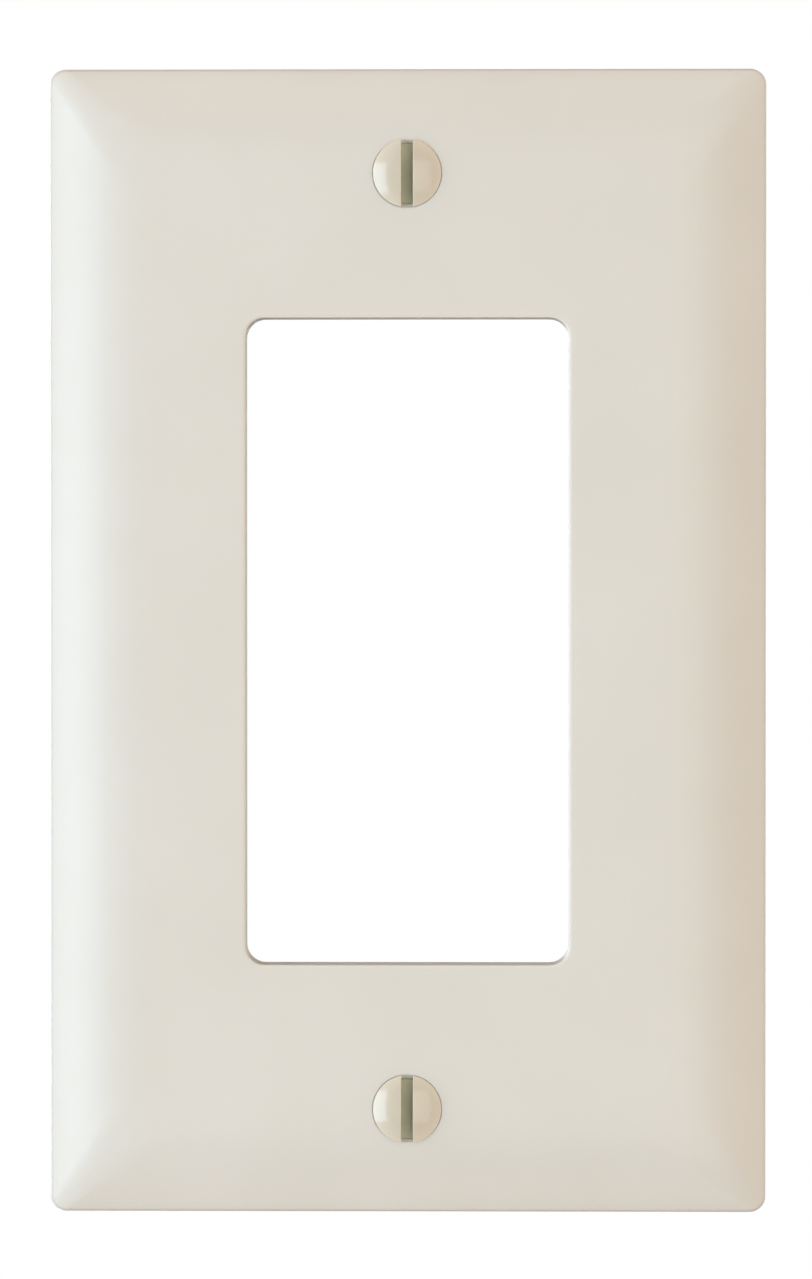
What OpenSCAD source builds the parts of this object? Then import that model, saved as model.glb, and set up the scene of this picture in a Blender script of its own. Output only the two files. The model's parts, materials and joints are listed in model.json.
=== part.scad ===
// Wall plate cover for one device: a hollow moulded plate with a rounded margin and one
// upright rectangular opening, two oval-head screws, and a retaining washer on each screw.
// Origin: the plate's centre on the wall plane. X to the right seen from the front, Z up,
// Y into the wall, so the front faces -Y. Millimetres.

/* [Plate] */
// width of the plate
plate_w = 74.61; // [60:0.01:90]
// height of the plate
plate_h = 119.06; // [114:0.01:130]
// depth from the wall to the flat front
plate_d = 5.6; // [5.5:0.1:7]
// radius of the plate's four corners, seen from the front
corner_r = 1.7; // [1.2:0.1:2]
// width of the curved margin along each side
margin_w = 10.3; // [9:0.1:11]
// radius of the margin's curve, which meets the flat front tangentially
margin_r = 15.3; // [15:0.1:16]
// radius between the margin and the side
edge_r = 1.1; // [0.8:0.05:1.2]
// thickness of the front wall
wall_t = 2.0; // [1.6:0.1:2.3]
// width of the rim that rests on the wall
rim_w = 1.6; // [1.4:0.1:1.9]

/* [Opening] */
// width of the opening
opening_w = 33.5; // [24:0.01:36]
// height of the opening
opening_h = 67.0; // [45:0.01:70]
// radius of the opening's corners
opening_r = 2.0; // [1.2:0.1:2.5]
// radius of the shallow roll round the opening's front edge
lip_r = 0.6; // [0.4:0.05:1.0]
// width of that roll
lip_w = 0.38; // [0.2:0.02:0.4]
// thickness of the collar behind the opening
collar_t = 1.6; // [1.2:0.1:2]

/* [Back] */
// gap between the wall and the back of the collar, the bosses and the ribs
back_gap = 1.0; // [0.8:0.1:1.2]
// outside diameter of a screw boss
boss_d = 10.4; // [9.8:0.1:11]
// thickness of a rib
rib_t = 1.1; // [0.8:0.1:1.5]
// distance between the ribs at the sides of the opening
side_rib_pitch = 20; // [14:1:24]
// distance between the two ribs above and below the opening
end_rib_gap = 30; // [20:1:34]

/* [Screws] */
// distance between the two screws
screw_spacing = 96.84; // [94:0.01:97.5]
// diameter of the head
head_d = 7.09; // [6.8:0.01:7.2]
// height of the head's dome
dome_h = 1.14; // [0.9:0.01:1.2]
// angle of the countersink
sink_angle = 82; // [80:1:90]
// length from the head's rim to the tip
screw_len = 12.7; // [11.9:0.1:15.9]
// diameter over the thread's crests
thread_d = 3.505; // [3.4:0.005:3.6]
// pitch of the thread
thread_pitch = 0.79375; // [0.7:0.00005:0.8]
// width of the driver slot
slot_w = 1.2; // [0.9:0.05:1.3]
// depth of the driver slot below the top of the dome
slot_depth = 1.65; // [1.4:0.05:1.9]
// diameter of the plate's screw holes
hole_d = 4.3; // [4:0.05:4.6]
// diameter of the countersink at the flat front
sink_d = 7.3; // [7.25:0.01:7.5]

/* [Washers] */
// outside diameter of a retaining washer
washer_d = 8; // [7:0.1:9]
// thickness of a retaining washer
washer_t = 0.5; // [0.4:0.05:0.6]
// number of whole turns that a screw backs out before its washer meets the boss
back_out_turns = 6; // [2:1:6]
// gap between a washer's hole and the thread, on the radius
washer_gap = 0.05; // [0.03:0.01:0.08]
// gap left between a washer and its boss when the screw is backed out
stop_gap = 0.05; // [0.03:0.01:0.1]
// number of slits that let a washer's hole open over the thread
slit_count = 4; // [3:1:6]
// width of a slit
slit_w = 0.5; // [0.3:0.05:0.6]
// distance from the screw's axis to the end of a slit
slit_reach = 2.9; // [2.4:0.1:3.2]

/* [Hidden] */
$fn = 96;

// how far a cut, or a piece that joins another, runs past the surface
slack = 1;
// facets of the large arcs, seen by viewers that draw the curves as facets
arc_fn = 360;
plastic = [0.887, 0.866, 0.815];
screw_paint = [0.86, 0.83, 0.76];
nylon = [0.93, 0.93, 0.90];

// The thread: 60 degree flanks and crests an eighth of the pitch wide, as separate rings.
// Depths are measured from the wall plane and grow towards the front.
flank_angle = 30;
thread_r = thread_d / 2;
thread_depth = 0.6134 * thread_pitch;
core_r = thread_r - thread_depth;
crest_w = thread_pitch / 8;
flank_w = thread_depth * tan(flank_angle);
tip_depth = plate_d - screw_len;
tip_chamfer = 0.12;
head_r = head_d / 2;
neck_r = thread_r - thread_depth / 2;
neck_depth = plate_d - (head_r - neck_r) / tan(sink_angle / 2);
plain_len = 0.5;
first_crest = neck_depth - plain_len;
crest_count = floor((first_crest - tip_depth - plain_len) / thread_pitch) + 1;

// where the slits of a washer start, clear of the screw's upright slot
slit_turn = 45;

washer_front = back_gap - stop_gap - back_out_turns * thread_pitch;

// Stands a shape that is drawn flat, with the front up, against the wall.
module upright() {
    rotate([90, 0, 0]) children();
}

module at_screw(side) {
    translate([0, side * screw_spacing / 2, 0]) children();
}

module rounded_rect(w, h, r) {
    square([w - 2 * r, h], center = true);
    square([w, h - 2 * r], center = true);
    for (x = [-1, 1], y = [-1, 1])
        translate([x * (w / 2 - r), y * (h / 2 - r)]) circle(r);
}

// Half of the outer section: across along X, depth along Y, the curve and the edge as true arcs.
module outer_half(span) {
    flat = span / 2 - margin_w;
    side = span / 2;
    centre = [flat, plate_d - margin_r];
    rise = sqrt(pow(margin_r - edge_r, 2) - pow(margin_w - edge_r, 2));
    edge = [side - edge_r, centre[1] + rise];
    beyond = centre + (edge - centre) * (margin_r + slack) / (margin_r - edge_r);
    translate([-slack, 0]) square([flat + slack, plate_d]);
    intersection() {
        translate(centre) circle(margin_r, $fn = arc_fn);
        polygon([[flat - slack, 0], [edge[0], 0], edge, beyond, [flat - slack, beyond[1] + 4 * slack]]);
    }
    translate([edge[0] - slack, 0]) square([edge_r + slack, edge[1]]);
    intersection() {
        translate(edge) circle(edge_r);
        translate(edge) square(edge_r);
    }
}

// Half of a section a distance inside the outer one.
module inner_half(span, inset) {
    flat = span / 2 - margin_w;
    translate([-slack, -slack]) square([flat + slack, plate_d - inset + slack]);
    intersection() {
        translate([flat, plate_d - margin_r]) circle(margin_r - inset, $fn = arc_fn);
        translate([flat - slack, -slack]) square([margin_w + slack, plate_d + slack]);
    }
}

// The solid where a section along X and a section along Y cross.
module crossed(inset) {
    intersection() {
        rotate([90, 0, 0]) linear_extrude(2 * plate_h, center = true) section(plate_w, inset);
        rotate([90, 0, 90]) linear_extrude(2 * plate_w, center = true) section(plate_h, inset);
    }
}

module section(span, inset) {
    for (side = [0, 1]) mirror([side, 0])
        if (inset > 0) inner_half(span, inset);
        else outer_half(span);
}

module outer_form() {
    intersection() {
        crossed(0);
        linear_extrude(plate_d + slack) rounded_rect(plate_w, plate_h, corner_r);
    }
}

module cavity() {
    intersection() {
        crossed(wall_t);
        translate([0, 0, -slack]) linear_extrude(plate_d + slack)
            rounded_rect(plate_w - 2 * rim_w, plate_h - 2 * rim_w, corner_r);
    }
}

// What stands behind the front wall: the collar, the ribs and the screw bosses.
module back_features() {
    collar_w = opening_w + 2 * collar_t;
    collar_h = opening_h + 2 * collar_t;
    side_len = (plate_w - collar_w) / 2;
    end_len = (plate_h - collar_h) / 2;
    translate([0, 0, back_gap]) {
        linear_extrude(plate_d) rounded_rect(collar_w, collar_h, opening_r + collar_t);
        for (x = [-1, 1], row = [-1, 0, 1])
            translate([x * (plate_w - side_len) / 2, row * side_rib_pitch, plate_d / 2])
                cube([side_len + slack, rib_t, plate_d], center = true);
        for (x = [-1, 1], y = [-1, 1])
            translate([x * end_rib_gap / 2, y * (plate_h - end_len) / 2, plate_d / 2])
                cube([rib_t, end_len + slack, plate_d], center = true);
        for (y = [-1, 1]) {
            at_screw(y) cylinder(h = plate_d, d = boss_d);
            translate([0, y * (plate_h - end_len) / 2, plate_d / 2])
                cube([rib_t, end_len + slack, plate_d], center = true);
        }
    }
}

module screw_hole() {
    sink_h = (sink_d - hole_d) / 2 / tan(sink_angle / 2);
    widen = slack * tan(sink_angle / 2);
    translate([0, 0, -slack]) cylinder(h = plate_d + 2 * slack, d = hole_d);
    translate([0, 0, plate_d - sink_h])
        cylinder(h = sink_h + slack, d1 = hole_d, d2 = sink_d + 2 * widen);
}

// What the roll round the opening's front edge takes away, across along X and depth along Y.
module lip_section() {
    difference() {
        translate([-lip_r, 0]) square([lip_r + lip_w, 2 * lip_r]);
        translate([lip_w, 0]) circle(lip_r);
    }
}

module opening_cut() {
    straight_w = opening_w - 2 * opening_r;
    straight_h = opening_h - 2 * opening_r;
    translate([0, 0, -slack]) linear_extrude(plate_d + 2 * slack)
        rounded_rect(opening_w, opening_h, opening_r);
    translate([0, 0, plate_d - lip_r]) for (turn = [0, 180]) rotate(turn) {
        translate([opening_w / 2, 0, 0]) rotate([90, 0, 0])
            linear_extrude(straight_h, center = true) lip_section();
        translate([0, opening_h / 2, 0]) rotate([90, 0, 90])
            linear_extrude(straight_w, center = true) lip_section();
        translate([straight_w / 2, straight_h / 2, 0])
            rotate_extrude(angle = 90) translate([opening_r, 0]) lip_section();
        translate([-straight_w / 2, straight_h / 2, 0]) rotate(90)
            rotate_extrude(angle = 90) translate([opening_r, 0]) lip_section();
    }
}

module cover_plate() {
    color(plastic) upright() difference() {
        union() {
            difference() {
                outer_form();
                cavity();
            }
            intersection() {
                back_features();
                crossed(wall_t / 2);
                translate([0, 0, -slack]) linear_extrude(plate_d + slack)
                    rounded_rect(plate_w - rim_w, plate_h - rim_w, corner_r);
            }
        }
        opening_cut();
        for (y = [-1, 1]) at_screw(y) screw_hole();
    }
}

// Outline of the threaded shank from the tip to the head, radius along X and depth along Y.
function thread_ring(i) =
    let (y = first_crest - i * thread_pitch)
    [[core_r, y - crest_w / 2 - flank_w], [thread_r, y - crest_w / 2],
     [thread_r, y + crest_w / 2], [core_r, y + crest_w / 2 + flank_w]];

function shank_outline() = concat(
    [[0, tip_depth], [core_r - tip_chamfer, tip_depth], [core_r, tip_depth + tip_chamfer]],
    [for (i = [crest_count - 1:-1:0]) each thread_ring(i)],
    [[neck_r, first_crest + crest_w / 2 + flank_w], [neck_r, neck_depth],
     [head_r, plate_d], [0, plate_d]]);

module oval_head_screw() {
    dome_r = (pow(head_r, 2) + pow(dome_h, 2)) / (2 * dome_h);
    difference() {
        rotate_extrude() {
            polygon(shank_outline());
            intersection() {
                translate([0, plate_d + dome_h - dome_r]) circle(dome_r, $fn = arc_fn);
                translate([0, plate_d]) square([head_r, 2 * dome_h]);
            }
        }
        translate([0, 0, plate_d + dome_h - slot_depth + slack])
            cube([slot_w, head_d + 2 * slack, 2 * slack], center = true);
    }
}

module screw(side) {
    color(screw_paint) upright() at_screw(side) oval_head_screw();
}

module upper_screw() {
    screw(1);
}

module lower_screw() {
    screw(-1);
}

module retaining_washer(side) {
    color(nylon) upright() at_screw(side) translate([0, 0, washer_front - washer_t])
        difference() {
            cylinder(h = washer_t, d = washer_d);
            translate([0, 0, -slack])
                cylinder(h = washer_t + 2 * slack, r = thread_r + washer_gap);
            for (i = [0:slit_count - 1]) rotate(slit_turn + i * 360 / slit_count)
                translate([0, -slit_w / 2, -slack])
                    cube([slit_reach, slit_w, washer_t + 2 * slack]);
        }
}

module upper_retaining_washer() {
    retaining_washer(1);
}

module lower_retaining_washer() {
    retaining_washer(-1);
}

cover_plate();
upper_screw();
lower_screw();
upper_retaining_washer();
lower_retaining_washer();
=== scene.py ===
"""Wall plate cover: a light almond moulded plate with two oval-head screws and their washers.

Everything is in the row's frame: X to the right seen from the front, Z up, Y into the wall.
Shapes are worked out in millimetres as (x, z, depth), with depth growing from the wall plane
towards the front, and turned into metres when a mesh is made.
"""

import json
import math

import bmesh
import bpy
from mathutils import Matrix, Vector, geometry


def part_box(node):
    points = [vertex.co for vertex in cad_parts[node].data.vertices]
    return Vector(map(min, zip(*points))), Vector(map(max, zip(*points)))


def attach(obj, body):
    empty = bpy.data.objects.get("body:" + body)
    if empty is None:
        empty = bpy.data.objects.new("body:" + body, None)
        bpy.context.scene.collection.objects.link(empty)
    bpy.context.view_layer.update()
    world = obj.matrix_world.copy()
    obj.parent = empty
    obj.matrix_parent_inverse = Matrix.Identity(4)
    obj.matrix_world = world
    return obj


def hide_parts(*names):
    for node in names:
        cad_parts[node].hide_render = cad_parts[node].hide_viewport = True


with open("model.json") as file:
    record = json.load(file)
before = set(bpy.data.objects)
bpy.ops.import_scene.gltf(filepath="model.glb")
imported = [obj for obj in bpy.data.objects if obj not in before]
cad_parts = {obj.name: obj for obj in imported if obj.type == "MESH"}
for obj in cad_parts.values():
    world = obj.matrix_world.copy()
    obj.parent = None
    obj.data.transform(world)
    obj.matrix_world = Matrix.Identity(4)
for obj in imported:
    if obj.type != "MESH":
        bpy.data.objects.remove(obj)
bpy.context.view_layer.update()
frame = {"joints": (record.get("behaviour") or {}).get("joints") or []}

MM = 0.001
PLATE_LOW, PLATE_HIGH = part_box("cover_plate")
SCREW_LOW, SCREW_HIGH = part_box("upper_screw")
WASHER_LOW, WASHER_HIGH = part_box("upper_retaining_washer")
SCREW_JOINTS = {
    joint["child"]: joint["pos_m"][2] / MM
    for joint in frame["joints"]
    if joint["type"] == "hinge"
}

# the plate
HALF_W = PLATE_HIGH.x / MM
HALF_H = PLATE_HIGH.z / MM
DEPTH = -PLATE_LOW.y / MM
CORNER_R = 1.7
MARGIN_W = 10.3
MARGIN_R = 15.3
EDGE_R = 1.1
WALL_T = 2.0
RIM_W = 1.6
REAR_EDGE_R = 0.15
# how fast the corner radius grows from the outline inwards, which softens the corner lines
CORNER_GROWTH = 0.35
# insets of the rings between the rounded edge and the flat front; from the last outer one on,
# the screw holes reach into the rings
OUTER_RINGS = [0.8, 1.3, 1.9, 2.5, 3.1, 3.7, 4.3, 4.9, 5.5, 6.0, 6.5]
INNER_RINGS = [7.25, 8.0, 8.8, 9.55, MARGIN_W, MARGIN_W + 0.35]

# the opening
OPENING_HALF_W = 33.5 / 2
OPENING_HALF_H = 67.0 / 2
OPENING_R = 2.0
# the shallow roll round the opening's front edge, and the small break where it meets the wall
LIP_R = 0.6
LIP_W = 0.38
LIP_BREAK = 0.05
# a ring of mesh on the flat front just outside the lip
LIP_RING = 0.9
COLLAR_T = 1.6

# the back
BACK_GAP = 1.0
BOSS_R = 5.2
RIB_T = 1.1
SIDE_RIB_PITCH = 20.0
END_RIB_X = 15.0
# how far the hollow's own form runs past the wall plane, and where collar and bosses end inside
# the front wall
OVERRUN = 1.0
ROOT_DEPTH = DEPTH - 1.0
# round marks that the mould's ejector pins leave on the inside face: radius, depth and places
EJECTOR_R = 1.75
EJECTOR_DEPTH = 0.12
EJECTOR_FOOT = 2.0
EJECTOR_PLACES = [(23.0, 42.0), (22.0, 10.0)]

# the screws and washers
SCREW_Z = SCREW_JOINTS["upper_screw"]
HEAD_R = 7.09 / 2
DOME_H = -SCREW_LOW.y / MM - DEPTH
TIP_DEPTH = -SCREW_HIGH.y / MM
SINK_SLOPE = math.tan(math.radians(41))
SINK_R = 3.65
HOLE_R = 2.15
# rounding of the countersink's rim and of its foot, and rings of mesh round each hole
SINK_SOFT = 0.06
HOLE_EASE = 0.06
HOLE_RING_R = 4.15
HOLE_CLEAR_R = 4.5
THREAD_R = 3.505 / 2
THREAD_PITCH = 0.79375
THREAD_H = 0.6134 * THREAD_PITCH
THREAD_RUN_OUT = 1.2 * THREAD_PITCH
# the short plain neck, and how much thinner than the thread's root the tip is
NECK_EASE = 0.05
NECK_L = 0.12
TIP_INSET = 0.12
CREST_BREAK = 0.02
ROOT_BREAK = 0.03
ROOT_FLAT = 0.04
SLOT_W = 1.2
SLOT_DEPTH = 1.65
# rounding along the slot's mouth, and how it fades out before the head's rim
MOUTH_R = 0.07
MOUTH_END = 0.1
MOUTH_FADE = 0.25
# the head's rounded rim as (inset, height over the rim's plane)
RIM_SECTION = [(0.017, 0.008), (0.005, -0.015), (0.013, -0.038)]
CONE_START = 0.07
# distances inside the rim of the dome's outer rings, and of its straight lines' ends
DOME_RINGS = 0.055, 0.12
DOME_LINES_END = 0.2
# how deep the enamel reaches behind the head's rim
ENAMEL_REACH = 1.2
WASHER_R = WASHER_HIGH.x / MM
WASHER_FRONT = -WASHER_LOW.y / MM
WASHER_BACK = -WASHER_HIGH.y / MM
WASHER_HOLE_R = THREAD_R + 0.05
SLIT_COUNT = 4
SLIT_W = 0.5
SLIT_REACH = 2.9
WASHER_BREAK = 0.05


# ---------------------------------------------------------------- mesh tools


class Shell:
    """Vertices as (x, z, depth) in millimetres, and faces, gathered before they become a mesh."""

    def __init__(self):
        self.verts, self.faces = [], []

    def ring(self, outline, depth):
        """Adds a closed ring of (x, z) points at one depth, or at a depth for each point."""
        start = len(self.verts)
        for i, (x, z) in enumerate(outline):
            self.verts.append((x, z, depth[i] if isinstance(depth, list) else depth))
        return list(range(start, len(self.verts)))

    def bridge(self, a, b):
        """Joins two rings of the same number of points."""
        count = len(a)
        for i in range(count):
            j = (i + 1) % count
            self.faces.append((a[i], a[j], b[j], b[i]))

    def loft(self, rings):
        for a, b in zip(rings, rings[1:]):
            self.bridge(a, b)

    def cap(self, ring):
        self.faces.append(tuple(ring))

    def fill(self, outer, holes=(), chains=()):
        """Triangles between an outer ring and holes, keeping to every chain's edges."""
        ids, edges = [], []
        for closed, chain in [(True, outer)] + [(True, h) for h in holes] + list(chains):
            start = len(ids)
            ids += chain
            edges += [(start + i, start + i + 1) for i in range(len(chain) - 1)]
            if closed:
                edges.append((start + len(chain) - 1, start))
        flat = [Vector(self.verts[i][:2]) for i in ids]
        made = geometry.delaunay_2d_cdt(flat, edges, [], 0, 1e-7)
        points, triangles, origin = made[0], made[2], made[3]
        for triangle in triangles:
            middle = sum((points[i] for i in triangle), Vector((0, 0))) / 3
            if not self.holds(outer, middle) or any(self.holds(h, middle) for h in holes):
                continue
            self.faces.append(tuple(ids[origin[i][0]] for i in triangle))

    def holds(self, ring, point):
        """Whether a ring's outline goes round a point."""
        inside = False
        x, z = point
        for i, j in zip(ring, ring[1:] + ring[:1]):
            (x1, z1), (x2, z2) = self.verts[i][:2], self.verts[j][:2]
            if (z1 > z) != (z2 > z) and x < x1 + (z - z1) / (z2 - z1) * (x2 - x1):
                inside = not inside
        return inside

    def mesh(self, name):
        mesh = bpy.data.meshes.new(name)
        points = [(x * MM, -depth * MM, z * MM) for x, z, depth in self.verts]
        mesh.from_pydata(points, [], self.faces)
        bm = bmesh.new()
        bm.from_mesh(mesh)
        bmesh.ops.remove_doubles(bm, verts=bm.verts, dist=1e-4 * MM)
        bmesh.ops.dissolve_degenerate(bm, edges=bm.edges, dist=1e-4 * MM)
        loose = [v for v in bm.verts if not v.link_faces]
        bmesh.ops.delete(bm, geom=loose, context="VERTS")
        bmesh.ops.recalc_face_normals(bm, faces=bm.faces)
        bm.to_mesh(mesh)
        bm.free()
        return mesh

    def piece(self, name):
        return add_object(name, self.mesh(name))


def add_object(name, mesh):
    """A new object in the scene."""
    made = bpy.data.objects.new(name, mesh)
    bpy.context.scene.collection.objects.link(made)
    return made


def boolean(target, tools, operation):
    """Cuts or joins solids exactly, and removes the tools."""
    for tool in tools:
        modifier = target.modifiers.new("boolean", "BOOLEAN")
        modifier.operation = operation
        modifier.solver = "EXACT"
        modifier.object = tool
    apply_modifiers(target)
    for tool in tools:
        bpy.data.objects.remove(tool)


def apply_modifiers(target):
    """Makes an object's modifiers part of its mesh."""
    bpy.context.view_layer.update()
    graph = bpy.context.evaluated_depsgraph_get()
    made = bpy.data.meshes.new_from_object(target.evaluated_get(graph))
    target.modifiers.clear()
    target.data = made


def bevel_edges(target, least_angle, width, segments=2):
    """Rounds every edge that is sharper than an angle."""
    bm = bmesh.new()
    bm.from_mesh(target.data)
    bm.normal_update()
    edges = [
        e for e in bm.edges if len(e.link_faces) == 2 and e.calc_face_angle(0) > least_angle
    ]
    bmesh.ops.bevel(
        bm,
        geom=edges,
        offset=width * MM,
        offset_type="OFFSET",
        segments=segments,
        profile=0.5,
        affect="EDGES",
        clamp_overlap=False,
    )
    bm.to_mesh(target.data)
    bm.free()


def smooth(target, sharp_degrees=35):
    """Smooth shading, with edges over an angle kept sharp and large flat faces kept flat."""
    mesh = target.data
    mesh.shade_smooth()
    mesh.set_sharp_from_angle(angle=math.radians(sharp_degrees))
    weighted = target.modifiers.new("weighted_normals", "WEIGHTED_NORMAL")
    weighted.mode = "FACE_AREA_WITH_ANGLE"
    weighted.weight = 50
    weighted.keep_sharp = True
    apply_modifiers(target)


# ---------------------------------------------------------------- outlines


def circle(radius, centre_z=0.0, count=96):
    """A circle on the plate's middle line."""
    turn = 2 * math.pi / count
    return [
        (radius * math.cos(i * turn), centre_z + radius * math.sin(i * turn))
        for i in range(count)
    ]


def rounded_rect(half_w, half_h, radius, arc_n=12, across_n=28, up_n=44):
    """A rounded rectangle with a set number of points, anticlockwise from the right."""
    x, z = half_w - radius, half_h - radius
    corners = [(x, z), (-x, z), (-x, -z), (x, -z)]
    outline = []
    for i, (cx, cz) in enumerate(corners):
        for k in range(arc_n + 1):
            angle = (i + k / arc_n) * math.pi / 2
            outline.append((cx + radius * math.cos(angle), cz + radius * math.sin(angle)))
        nx, nz = corners[(i + 1) % 4]
        angle = (i + 1) * math.pi / 2
        start = Vector(outline[-1])
        end = Vector((nx + radius * math.cos(angle), nz + radius * math.sin(angle)))
        count = up_n if i % 2 else across_n
        outline += [tuple(start.lerp(end, k / count)) for k in range(1, count)]
    return outline


def plate_ring(inset):
    """The plate's outline a distance inside its edge."""
    radius = CORNER_R + CORNER_GROWTH * inset
    return rounded_rect(HALF_W - inset, HALF_H - inset, radius)


def arc(centre, radius, start, end, count):
    """Points of an arc as (along, depth), from one angle to another in degrees."""
    return [
        (
            centre[0] + radius * math.cos(math.radians(start + (end - start) * k / count)),
            centre[1] + radius * math.sin(math.radians(start + (end - start) * k / count)),
        )
        for k in range(count + 1)
    ]


def margin_depth(inset, below=0.0):
    """Depth of the front, or of a surface a distance below it, at an inset from the edge."""
    if inset >= MARGIN_W:
        return DEPTH - below
    radius = MARGIN_R - below
    return DEPTH - MARGIN_R + math.sqrt(radius**2 - (MARGIN_W - inset) ** 2)


def front_depth(x, z):
    """Depth of the front at a place on the plate."""
    return margin_depth(min(HALF_W - abs(x), HALF_H - abs(z)))


def margin_section():
    """The plate's outer section from the wall plane to the flat front, as (inset, depth)."""
    centre = (MARGIN_W, DEPTH - MARGIN_R)
    rise = math.sqrt((MARGIN_R - EDGE_R) ** 2 - (MARGIN_W - EDGE_R) ** 2)
    edge = (EDGE_R, centre[1] + rise)
    touch = math.degrees(math.atan2(rise, EDGE_R - MARGIN_W))
    rear = arc((REAR_EDGE_R, REAR_EDGE_R), REAR_EDGE_R, 270, 180, 3)
    return rear + arc(edge, EDGE_R, 180, touch, 7)


# ---------------------------------------------------------------- the plate


def hole_rim(shell, centre_z):
    """A countersunk hole whose rim follows the front; returns its first and last rings."""
    length = math.hypot(SINK_SLOPE, 1.0)
    rim = []
    for x, z in circle(1.0):
        radius = SINK_R
        for _ in range(12):
            depth = front_depth(radius * x, centre_z + radius * z)
            radius = SINK_R - (DEPTH - depth) * SINK_SLOPE
        outer = radius + SINK_SOFT
        outer_depth = front_depth(outer * x, centre_z + outer * z)
        inner = (radius - SINK_SOFT * SINK_SLOPE / length, depth - SINK_SOFT / length)
        rim.append(((x, z), (outer, outer_depth), (radius, depth), inner))
    rings = []
    steps = 4
    for k in range(steps + 1):
        t = k / steps
        outline, depths = [], []
        for (x, z), a, b, c in rim:
            r, d = [
                (1 - t) ** 2 * a[i] + 2 * t * (1 - t) * b[i] + t**2 * c[i] for i in (0, 1)
            ]
            outline.append((r * x, centre_z + r * z))
            depths.append(d)
        rings.append(shell.ring(outline, depths))
    foot = DEPTH - (SINK_R - HOLE_R) / SINK_SLOPE
    ease = HOLE_EASE
    for radius, depth in [
        (HOLE_R + 3 * ease, foot + 3 * ease / SINK_SLOPE),
        (HOLE_R + ease, foot + ease / SINK_SLOPE),
        (HOLE_R, foot - ease),
        (HOLE_R, foot - 3 * ease),
        (HOLE_R, 0.0),
    ]:
        rings.append(shell.ring(circle(radius, centre_z), depth))
    shell.loft(rings)
    return rings[0], rings[-1]


def opening_outline(outset):
    """The opening's outline a distance outside its wall."""
    half_w, half_h = OPENING_HALF_W + outset, OPENING_HALF_H + outset
    return rounded_rect(half_w, half_h, OPENING_R + outset, across_n=16, up_n=32)


def opening_rings(shell):
    """The opening's lip and wall, from the front to the wall plane."""
    slope = math.asin((LIP_W - LIP_BREAK) / LIP_R)
    steps = 5
    section = []
    for k in range(steps + 1):
        angle = slope * k / steps
        section.append(
            (LIP_W - LIP_R * math.sin(angle), DEPTH - LIP_R + LIP_R * math.cos(angle))
        )
    inset, depth = section[-1]
    section += [
        (inset * 0.3, depth - LIP_BREAK * 0.55),
        (0.0, depth - LIP_BREAK * 1.4),
        (0.0, depth - LIP_BREAK * 4),
        (0.0, 0.0),
    ]
    rings = []
    for inset, depth in section:
        rings.append(shell.ring(opening_outline(inset), depth))
    shell.loft(rings)
    return rings[0], rings[-1]


def clear_of_holes(outline, clearance):
    """The runs of an outline's points that keep a distance from both screw holes."""
    runs, run = [], []
    for i, (x, z) in enumerate(outline):
        if math.hypot(x, abs(z) - SCREW_Z) > clearance:
            run.append(i)
        elif run:
            runs.append(run)
            run = []
    if run and runs and runs[0][0] == 0:
        runs[0] = run + runs[0]
    elif run:
        runs.append(run)
    return runs


def outer_solid():
    """The plate as a solid block with its front, opening and screw holes, before it is hollowed."""
    shell = Shell()
    rings = [shell.ring(plate_ring(i), d) for i, d in margin_section()]
    rings += [shell.ring(plate_ring(i), margin_depth(i)) for i in OUTER_RINGS]
    shell.loft(rings)
    chains = []
    for inset in INNER_RINGS:
        ring = shell.ring(plate_ring(inset), margin_depth(inset))
        runs = clear_of_holes(plate_ring(inset), HOLE_CLEAR_R)
        closed = len(runs) == 1 and len(runs[0]) == len(ring)
        chains += [(closed, [ring[i] for i in run]) for run in runs]
    holes, feet = [], []
    for side in (1, -1):
        rim, foot = hole_rim(shell, side * SCREW_Z)
        holes.append(rim)
        feet.append(foot)
        near = circle(HOLE_RING_R, side * SCREW_Z)
        depths = [front_depth(x, z) for x, z in near]
        chains.append((True, shell.ring(near, depths)))
    lip, foot = opening_rings(shell)
    chains.append((True, shell.ring(opening_outline(LIP_RING), DEPTH)))
    shell.fill(rings[-1], holes + [lip], chains)
    shell.fill(rings[0], feet + [foot])
    return shell.piece("cover_plate_shell")


def block(name, outline, low, high):
    """A straight-sided solid with an outline, between two depths."""
    shell = Shell()
    rings = [shell.ring(outline, depth) for depth in (low, high)]
    shell.loft(rings)
    for ring in rings:
        shell.cap(ring)
    return shell.piece(name)


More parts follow.
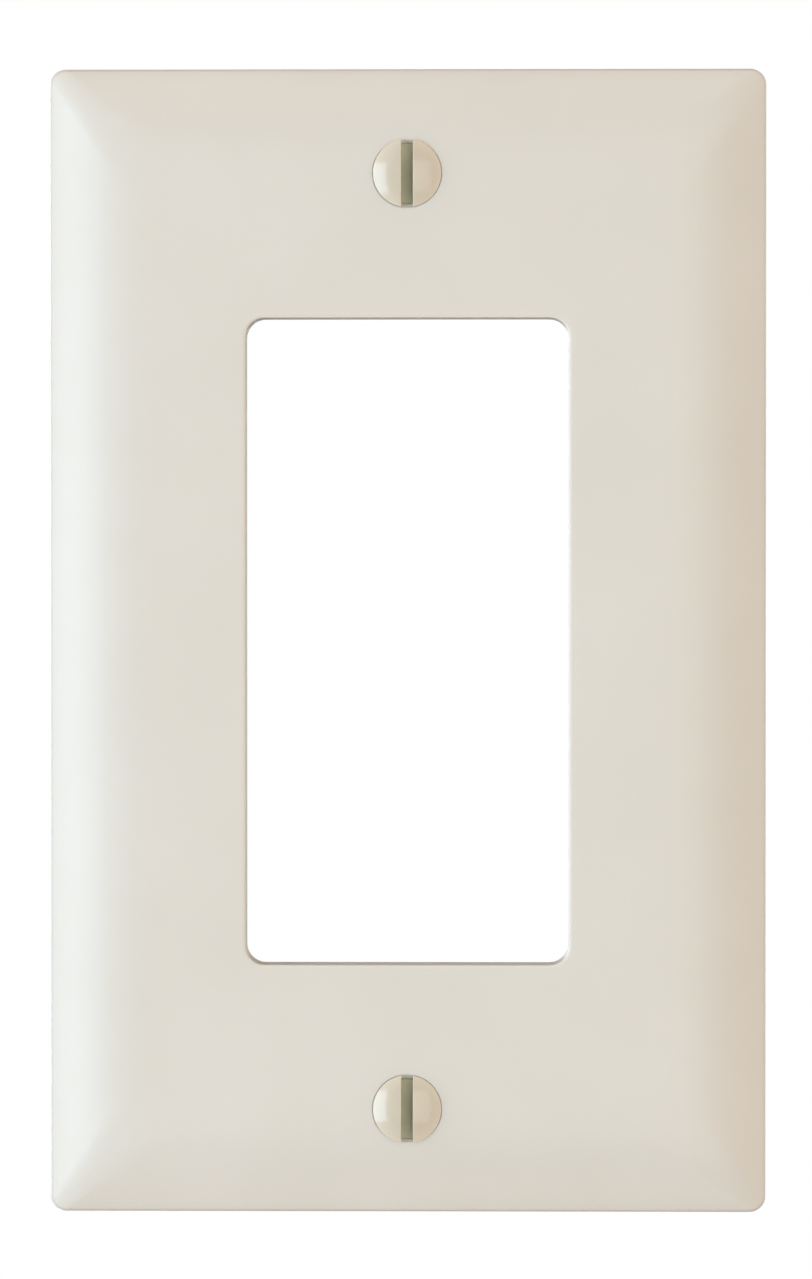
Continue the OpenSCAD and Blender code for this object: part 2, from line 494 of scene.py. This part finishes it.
def hollow_solid():
    """The space inside the plate's back: the inside form less the collar, bosses and ribs."""
    shell = Shell()
    inner_edge = MARGIN_W - math.sqrt((MARGIN_R - WALL_T) ** 2 - (MARGIN_R - DEPTH) ** 2)
    step = 0.7
    insets = [RIM_W + step * k for k in range(12)] + [MARGIN_W]
    overrun = shell.ring(plate_ring(RIM_W), -OVERRUN)
    rings = [shell.ring(plate_ring(i), margin_depth(max(i, inner_edge), WALL_T)) for i in insets]
    shell.loft([overrun] + rings)
    shell.cap(overrun)
    shell.cap(rings[-1])
    hollow = shell.piece("hollow")
    collar = rounded_rect(
        OPENING_HALF_W + COLLAR_T, OPENING_HALF_H + COLLAR_T, OPENING_R + COLLAR_T
    )
    tools = [block("collar", collar, BACK_GAP, ROOT_DEPTH)]
    side_x = OPENING_HALF_W + COLLAR_T / 2
    end_z = OPENING_HALF_H + COLLAR_T / 2
    for side in (1, -1):
        tools.append(block("boss", circle(BOSS_R, side * SCREW_Z), BACK_GAP, ROOT_DEPTH))
        for row in (-1, 0, 1):
            z = row * SIDE_RIB_PITCH
            x1, x2 = sorted((side * side_x, side * (HALF_W - RIM_W / 2)))
            tools.append(rib(x1, x2, z - RIB_T / 2, z + RIB_T / 2))
        for column in (-1, 0, 1):
            x = column * END_RIB_X
            z1, z2 = sorted((side * end_z, side * (HALF_H - RIM_W / 2)))
            tools.append(rib(x - RIB_T / 2, x + RIB_T / 2, z1, z2))
    boolean(hollow, tools, "DIFFERENCE")
    marks = []
    for x, z in ejector_places():
        mark = circle_at(EJECTOR_R, x, z)
        marks.append(block("mark", mark, EJECTOR_FOOT, DEPTH - WALL_T + EJECTOR_DEPTH))
    boolean(hollow, marks, "UNION")
    return hollow


def rib(x1, x2, z1, z2):
    """A straight rib between two corners, from just off the wall into the front wall."""
    outline = [(x2, z1), (x2, z2), (x1, z2), (x1, z1)]
    return block("rib", outline, BACK_GAP, DEPTH - WALL_T / 2)


def circle_at(radius, x, z, count=48):
    """A circle round any place on the plate."""
    return [(x + px, z + pz) for px, pz in circle(radius, 0.0, count)]


def ejector_places():
    """The marks' places, the same on both sides of both middle lines."""
    signs = [(side, end) for side in (-1, 1) for end in (-1, 1)]
    return [(side * x, end * z) for x, z in EJECTOR_PLACES for side, end in signs]


def make_plate():
    """The whole moulding."""
    plate = outer_solid()
    boolean(plate, [hollow_solid()], "DIFFERENCE")
    return plate


# ---------------------------------------------------------------- the screws


def thread_profile():
    """One pitch of the thread as (share of the pitch, radius), crest and root slightly rounded."""
    root = THREAD_R - THREAD_H
    crest = 1 / 16
    flank = THREAD_H * math.tan(math.radians(30)) / THREAD_PITCH
    return [
        (-crest, THREAD_R - CREST_BREAK),
        (-crest / 2, THREAD_R),
        (crest / 2, THREAD_R),
        (crest, THREAD_R - CREST_BREAK),
        (crest + flank / 2, THREAD_R - THREAD_H / 2),
        (crest + flank, root + ROOT_BREAK),
        (crest + flank + ROOT_FLAT, root),
        (1 - crest - flank - ROOT_FLAT, root),
        (1 - crest - flank, root + ROOT_BREAK),
        (1 - crest - flank / 2, THREAD_R - THREAD_H / 2),
    ]


def dome_depth(x, z):
    """The dome's depth, with a shallow groove whose sides round off the slot's mouth."""
    radius = math.hypot(x, z)
    dome_r = (HEAD_R**2 + DOME_H**2) / (2 * DOME_H)
    depth = DEPTH + DOME_H - dome_r + math.sqrt(dome_r**2 - radius**2)
    inside = MOUTH_R - min(max(abs(x) - SLOT_W / 2, 0.0), MOUTH_R)
    drop = MOUTH_R - math.sqrt(MOUTH_R**2 - inside**2)
    fade = min(max((HEAD_R - MOUTH_END - radius) / MOUTH_FADE, 0.0), 1.0)
    return depth - drop * fade


def head_dome(shell, around):
    """The top of the head, meshed in lines that run with the slot; returns its outer ring."""
    outline, near = [circle(HEAD_R - inset, 0.0, around) for inset in DOME_RINGS]
    outer = shell.ring(outline, [dome_depth(x, z) for x, z in outline])
    chains = [(True, shell.ring(near, [dome_depth(x, z) for x, z in near]))]
    steps = 24
    mouth = [SLOT_W / 2 + MOUTH_R * share for share in (0, 0.15, 0.35, 0.65, 1)]
    lines = mouth + [0.8, 1.05, 1.3, 1.6, 1.9, 2.2, 2.5, 2.75, 3.0, 3.2]
    for x in [0.0] + lines + [-x for x in lines]:
        reach = math.sqrt((HEAD_R - DOME_LINES_END) ** 2 - x**2)
        line = [(x, reach * (2 * k / steps - 1)) for k in range(steps + 1)]
        chains.append((False, shell.ring(line, [dome_depth(*point) for point in line])))
    shell.fill(outer, chains=chains)
    return outer


def make_screw(name, side):
    """An oval-head screw with a true right-hand thread, upright slot and flat tip."""
    around = 64
    neck_r = THREAD_R - THREAD_H / 2
    neck_depth = DEPTH - (HEAD_R - neck_r) / SINK_SLOPE
    half_way = (HEAD_R - neck_r) / 2
    rows = [(HEAD_R - inset, DEPTH + height) for inset, height in RIM_SECTION]
    rows += [
        (HEAD_R - CONE_START * SINK_SLOPE, DEPTH - CONE_START),
        (HEAD_R - half_way, DEPTH - half_way / SINK_SLOPE),
        (neck_r + NECK_EASE, neck_depth + NECK_EASE / SINK_SLOPE),
        (neck_r, neck_depth - NECK_L / 2),
    ]
    shell = Shell()
    rings = [head_dome(shell, around)]
    rings += [shell.ring(circle(radius, 0.0, around), depth) for radius, depth in rows]
    shell.loft(rings)
    tip_r = THREAD_R - THREAD_H - TIP_INSET
    first, last = thread_rows(shell, around, neck_r, neck_depth - NECK_L, tip_r)
    shell.bridge(rings[-1], first)
    shell.cap(last)
    screw = shell.piece(name)
    # the cutter is a hair wider than the mesh's own lines along the slot, and clears the head
    x, clear = SLOT_W / 2 + 0.0005, 5.0
    outline = [(x, -clear), (x, clear), (-x, clear), (-x, -clear)]
    cutter = block("slot", outline, DEPTH + DOME_H - SLOT_DEPTH, DEPTH + 3.0)
    boolean(screw, [cutter], "DIFFERENCE")
    for vertex in screw.data.vertices:
        vertex.co.z += side * SCREW_Z * MM
    return screw


def thread_rows(shell, around, neck_r, top, tip_r):
    """The threaded length as rows that follow the helix, run out at both ends."""
    profile = thread_profile()
    turns = math.ceil((top - TIP_DEPTH) / THREAD_PITCH) + 2
    count = len(profile)
    columns = []
    for j in range(around):
        angle = 2 * math.pi * j / around
        column = []
        for k in range(turns * count):
            share, radius = profile[k % count]
            raw = TIP_DEPTH + (k // count + share - 1 + j / around) * THREAD_PITCH
            depth = min(max(raw, TIP_DEPTH), top)
            fade = min(max((top - depth) / THREAD_RUN_OUT, 0.0), 1.0)
            fade = fade * fade * (3 - 2 * fade)
            radius = neck_r + (radius - neck_r) * fade
            radius = min(radius, tip_r + (depth - TIP_DEPTH))
            column.append((radius * math.cos(angle), radius * math.sin(angle), depth))
        columns.append(column)
    rows = turns * count
    starts = []
    for column in columns:
        starts.append(len(shell.verts))
        shell.verts += column
    for j, start in enumerate(starts):
        # past the last column comes the first one again, a whole pitch further on
        following = starts[j + 1] if j + 1 < around else starts[0] + count
        reach = rows if j + 1 < around else rows - count
        for k in range(reach - 1):
            face = (start + k, start + k + 1, following + k + 1, following + k)
            shell.faces.append(face)
    first = [start + rows - 1 for start in starts]
    return first, starts


# ---------------------------------------------------------------- the washers


def make_washer(name, side):
    """A thin slit washer with slightly rounded edges."""
    outline = []
    half = SLIT_W / 2
    part = math.asin(half / WASHER_HOLE_R)
    for i in range(SLIT_COUNT):
        turn = math.radians(45) + i * 2 * math.pi / SLIT_COUNT
        along = Vector((math.cos(turn), math.sin(turn)))
        across = Vector((-along.y, along.x))
        mouth = WASHER_HOLE_R * math.cos(part)
        end = SLIT_REACH - half
        outline.append(tuple(along * mouth - across * half))
        for k in range(9):
            angle = -math.pi / 2 + math.pi * k / 8
            out, aside = end + half * math.cos(angle), half * math.sin(angle)
            outline.append(tuple(along * out + across * aside))
        outline.append(tuple(along * mouth + across * half))
        span = 2 * math.pi / SLIT_COUNT - 2 * part
        for k in range(1, 12):
            angle = turn + part + span * k / 12
            x, z = WASHER_HOLE_R * math.cos(angle), WASHER_HOLE_R * math.sin(angle)
            outline.append((x, z))
    shell = Shell()
    outer = [shell.ring(circle(WASHER_R), depth) for depth in (WASHER_BACK, WASHER_FRONT)]
    inner = [shell.ring(outline, depth) for depth in (WASHER_BACK, WASHER_FRONT)]
    shell.loft(outer)
    shell.loft(inner)
    for rim, hole in zip(outer, inner):
        shell.fill(rim, [hole])
    washer = shell.piece(name)
    bevel_edges(washer, math.radians(80), WASHER_BREAK)
    for vertex in washer.data.vertices:
        vertex.co.z += side * SCREW_Z * MM
    return washer


# ---------------------------------------------------------------- materials


class Look:
    """A material's node tree, with short calls to add and join nodes."""

    def __init__(self, name):
        self.material = bpy.data.materials.new(name)
        self.material.use_nodes = True
        self.nodes = self.material.node_tree.nodes
        self.links = self.material.node_tree.links
        self.shader = self.nodes["Principled BSDF"]
        self.place = self.nodes.new("ShaderNodeTexCoord").outputs["Object"]

    def set(self, **values):
        for name, value in values.items():
            self.shader.inputs[name.replace("_", " ")].default_value = value

    def noise(self, scale, detail=2.0, roughness=0.5):
        node = self.nodes.new("ShaderNodeTexNoise")
        node.inputs["Scale"].default_value = scale
        node.inputs["Detail"].default_value = detail
        node.inputs["Roughness"].default_value = roughness
        self.links.new(self.place, node.inputs["Vector"])
        return node.outputs["Fac"]

    def spread(self, value, low, high, start=0.3, end=0.7):
        node = self.nodes.new("ShaderNodeMapRange")
        for key, number in (
            ("From Min", start),
            ("From Max", end),
            ("To Min", low),
            ("To Max", high),
        ):
            node.inputs[key].default_value = number
        self.links.new(value, node.inputs["Value"])
        return node.outputs["Result"]

    def tint(self, value, first, second):
        """Colours the surface between two colours."""
        node = self.nodes.new("ShaderNodeMix")
        node.data_type = "RGBA"
        node.inputs["A"].default_value = (*first, 1)
        node.inputs["B"].default_value = (*second, 1)
        self.links.new(self.spread(value, 0, 1), node.inputs["Factor"])
        self.join(node.outputs["Result"], "Base Color")

    def join(self, value, name):
        self.links.new(value, self.shader.inputs[name])

    def bump(self, height, strength, distance):
        node = self.nodes.new("ShaderNodeBump")
        node.inputs["Strength"].default_value = strength
        node.inputs["Distance"].default_value = distance
        self.links.new(height, node.inputs["Height"])
        self.join(node.outputs["Normal"], "Normal")


def moulded_nylon():
    """Light almond nylon with a fine satin grain and very slight clouds of colour."""
    look = Look("light_almond_nylon")
    look.set(IOR=1.5, Subsurface_Weight=0.12, Subsurface_Scale=0.001)
    look.set(Subsurface_Radius=(1.0, 0.8, 0.5))
    look.tint(look.noise(70, 3), (0.735, 0.70, 0.625), (0.755, 0.72, 0.65))
    look.join(look.spread(look.noise(900, 2), 0.36, 0.44), "Roughness")
    look.bump(look.noise(5200, 3, 0.6), 0.25, 0.00002)
    return look.material


def enamel(name, first, second, coat):
    """Baked enamel on metal, glossier than the plate."""
    look = Look(name)
    look.set(IOR=1.5, Coat_Weight=coat, Coat_Roughness=0.1)
    look.tint(look.noise(350, 3), first, second)
    look.join(look.spread(look.noise(1500, 2), 0.18, 0.26), "Roughness")
    look.bump(look.noise(2600, 2), 0.12, 0.00002)
    return look.material


def head_enamel():
    return enamel("almond_enamel", (0.655, 0.585, 0.46), (0.675, 0.60, 0.475), 0.5)


def slot_enamel_with_painted_shade():
    """A darker, greener enamel for the slot's faces: painted shade in the slot."""
    return enamel("slot_painted_shade_enamel", (0.46, 0.46, 0.31), (0.56, 0.55, 0.39), 0.1)


def bright_zinc():
    """Zinc plating, slightly cloudy."""
    look = Look("bright_zinc")
    look.set(Metallic=1.0)
    look.tint(look.noise(900, 4), (0.60, 0.61, 0.62), (0.74, 0.74, 0.73))
    look.join(look.spread(look.noise(2200, 3), 0.24, 0.42), "Roughness")
    look.bump(look.noise(4200, 3), 0.15, 0.00001)
    return look.material


def natural_nylon():
    """Uncoloured nylon, milky and a little clear."""
    look = Look("natural_nylon")
    look.set(IOR=1.53, Subsurface_Weight=0.5, Subsurface_Scale=0.001)
    look.set(Subsurface_Radius=(1.0, 0.95, 0.85))
    look.tint(look.noise(500, 3), (0.80, 0.80, 0.75), (0.85, 0.85, 0.81))
    look.join(look.spread(look.noise(1800, 2), 0.38, 0.5), "Roughness")
    look.bump(look.noise(5200, 2), 0.2, 0.00002)
    return look.material


def paint_screw(screw, enamel, painted_shade_slot, zinc):
    """Enamel on the head, a darker and greener enamel with painted shade on the slot's faces, and
    zinc from the neck to the tip.
    """
    for material in (enamel, painted_shade_slot, zinc):
        screw.data.materials.append(material)
    for face in screw.data.polygons:
        depth = -face.center.y / MM
        if depth < DEPTH - ENAMEL_REACH:
            face.material_index = 2
        # faces in the slot get the darker, greener enamel, which is painted shade in the slot
        elif abs(face.center.x) / MM < SLOT_W / 2 + 0.002:
            face.material_index = 1


# ---------------------------------------------------------------- stage, lights, camera


FLOOR_R = 0.44
FLOOR_HEIGHT = -0.13


def add_floor():
    """A small pale floor well below the object, fading out at its rim."""
    bm = bmesh.new()
    bmesh.ops.create_circle(bm, cap_ends=True, radius=FLOOR_R, segments=128)
    mesh = bpy.data.meshes.new("floor")
    bm.to_mesh(mesh)
    bm.free()
    floor = add_object("floor", mesh)
    floor.location.z = FLOOR_HEIGHT
    look = Look("pale_floor")
    look.set(Base_Color=(0.86, 0.86, 0.85, 1), Roughness=0.7)
    length = look.nodes.new("ShaderNodeVectorMath")
    length.operation = "LENGTH"
    look.links.new(look.place, length.inputs[0])
    solid = look.spread(length.outputs["Value"], 1.0, 0.0, 0.45 * FLOOR_R, 0.97 * FLOOR_R)
    look.join(solid, "Alpha")
    floor.data.materials.append(look.material)
    # the object hangs in even light from all round, so the floor is seen but shades nothing
    floor.visible_diffuse = False
    floor.visible_glossy = False
    floor.visible_shadow = False


def add_softbox(name, place, size, power, colour=(1, 1, 1), gloss=True):
    """A rectangular light that faces the plate's centre and is not seen itself."""
    light = bpy.data.lights.new(name, "AREA")
    light.shape = "RECTANGLE"
    light.size, light.size_y = size
    light.energy = power
    light.color = colour
    box = bpy.data.objects.new(name, light)
    bpy.context.scene.collection.objects.link(box)
    box.location = place
    box.rotation_euler = (-Vector(place)).to_track_quat("-Z", "Y").to_euler()
    box.visible_camera = False
    box.visible_glossy = gloss


# the surround's strength from straight in front (0) through the plate's plane (0.5) to behind (1)
SURROUND = [
    (0.1, 0.0),
    (0.3, 1.25),
    (0.42, 2.3),
    (0.5, 0.55),
    (0.56, 0.12),
    (0.66, 0.05),
    (0.99, 0.03),
]
SURROUND_COLOUR = (1.0, 0.893, 0.81, 1)
# what the strength is multiplied by straight below and straight above
SURROUND_BELOW = 0.81
SURROUND_ABOVE = 0.965


def add_world():
    """A white background, and a surround that is brightest all round the plate's own plane."""
    world = bpy.data.worlds.new("surround")
    bpy.context.scene.world = world
    world.use_nodes = True
    nodes, links = world.node_tree.nodes, world.node_tree.links
    place = nodes.new("ShaderNodeTexCoord")
    split = nodes.new("ShaderNodeSeparateXYZ")
    links.new(place.outputs["Generated"], split.inputs[0])
    share = nodes.new("ShaderNodeMapRange")
    share.inputs["From Min"].default_value = -1.0
    links.new(split.outputs["Y"], share.inputs["Value"])
    ramp = nodes.new("ShaderNodeValToRGB")
    stops = ramp.color_ramp.elements
    for where, strength in SURROUND:
        stop = stops.new(where)
        stop.color = (strength, strength, strength, 1)
    stops.remove(stops[0])
    stops.remove(stops[-1])
    links.new(share.outputs["Result"], ramp.inputs["Fac"])
    height = nodes.new("ShaderNodeMapRange")
    height.inputs["From Min"].default_value = -1.0
    height.inputs["To Min"].default_value = SURROUND_BELOW
    height.inputs["To Max"].default_value = SURROUND_ABOVE
    links.new(split.outputs["Z"], height.inputs["Value"])
    strength = nodes.new("ShaderNodeMath")
    strength.operation = "MULTIPLY"
    links.new(ramp.outputs["Color"], strength.inputs[0])
    links.new(height.outputs["Result"], strength.inputs[1])
    surround = nodes["Background"]
    surround.inputs["Color"].default_value = SURROUND_COLOUR
    links.new(strength.outputs["Value"], surround.inputs["Strength"])
    white = nodes.new("ShaderNodeBackground")
    white.inputs["Color"].default_value = (1, 1, 1, 1)
    path = nodes.new("ShaderNodeLightPath")
    mix = nodes.new("ShaderNodeMixShader")
    links.new(path.outputs["Is Camera Ray"], mix.inputs["Fac"])
    links.new(surround.outputs["Background"], mix.inputs[1])
    links.new(white.outputs["Background"], mix.inputs[2])
    links.new(mix.outputs["Shader"], nodes["World Output"].inputs["Surface"])


def at(across, up, away):
    """A place by its angle right of straight ahead, its angle up, and its distance."""
    across, up = math.radians(across), math.radians(up)
    level = away * math.cos(up)
    return (level * math.sin(across), -level * math.cos(across), away * math.sin(up))


def add_lights():
    """A cool key from the left, a wide warm light in front, and fills for the back."""
    add_softbox("key_left", at(-60, -2.5, 0.7), (0.45, 0.7), 3.77, (0.60, 0.80, 1.0))
    add_softbox("front", at(20, 0, 1.4), (1.3, 1.6), 8.85, (1.0, 0.97, 0.905))
    add_softbox("rear_left", (-0.8, 1.35, 0.05), (0.6, 0.8), 8)
    add_softbox("rear_right", (0.8, 1.35, 0.05), (0.6, 0.8), 3)
    # straight behind and without gloss, so the walls that a viewer in front sees edge on stay dark
    add_softbox("rear", (0, 1.6, 0.05), (0.5, 0.6), 11, gloss=False)


LENS = 146.0
CAMERA_PLACE = Vector((0.0083, -0.5418, 0.0074))
CAMERA_AIM = Vector((-0.0002, 0, 0.00015))


def add_camera():
    """Straight on from about half a metre, a little right of centre and a little above it."""
    camera = bpy.data.cameras.new("camera")
    camera.lens = LENS
    camera.clip_start = 0.01
    viewer = bpy.data.objects.new("camera", camera)
    bpy.context.scene.collection.objects.link(viewer)
    viewer.location = CAMERA_PLACE
    viewer.rotation_euler = (CAMERA_AIM - viewer.location).to_track_quat("-Z", "Y").to_euler()
    bpy.context.scene.camera = viewer


# ---------------------------------------------------------------- the object

add_camera()
add_world()
add_lights()
add_floor()
bpy.context.scene.view_settings.view_transform = "Standard"

plate = make_plate()
smooth(plate)
plate.data.materials.append(moulded_nylon())
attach(plate, "plate")
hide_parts("cover_plate")

head_finishes = head_enamel(), slot_enamel_with_painted_shade(), bright_zinc()
nylon = natural_nylon()
for where, side in (("upper", 1), ("lower", -1)):
    screw = make_screw(f"{where}_oval_head_screw", side)
    smooth(screw)
    paint_screw(screw, *head_finishes)
    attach(screw, f"{where}_screw")
    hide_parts(f"{where}_screw")

    washer = make_washer(f"{where}_slit_washer", side)
    smooth(washer)
    washer.data.materials.append(nylon)
    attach(washer, f"{where}_washer")
    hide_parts(f"{where}_retaining_washer")
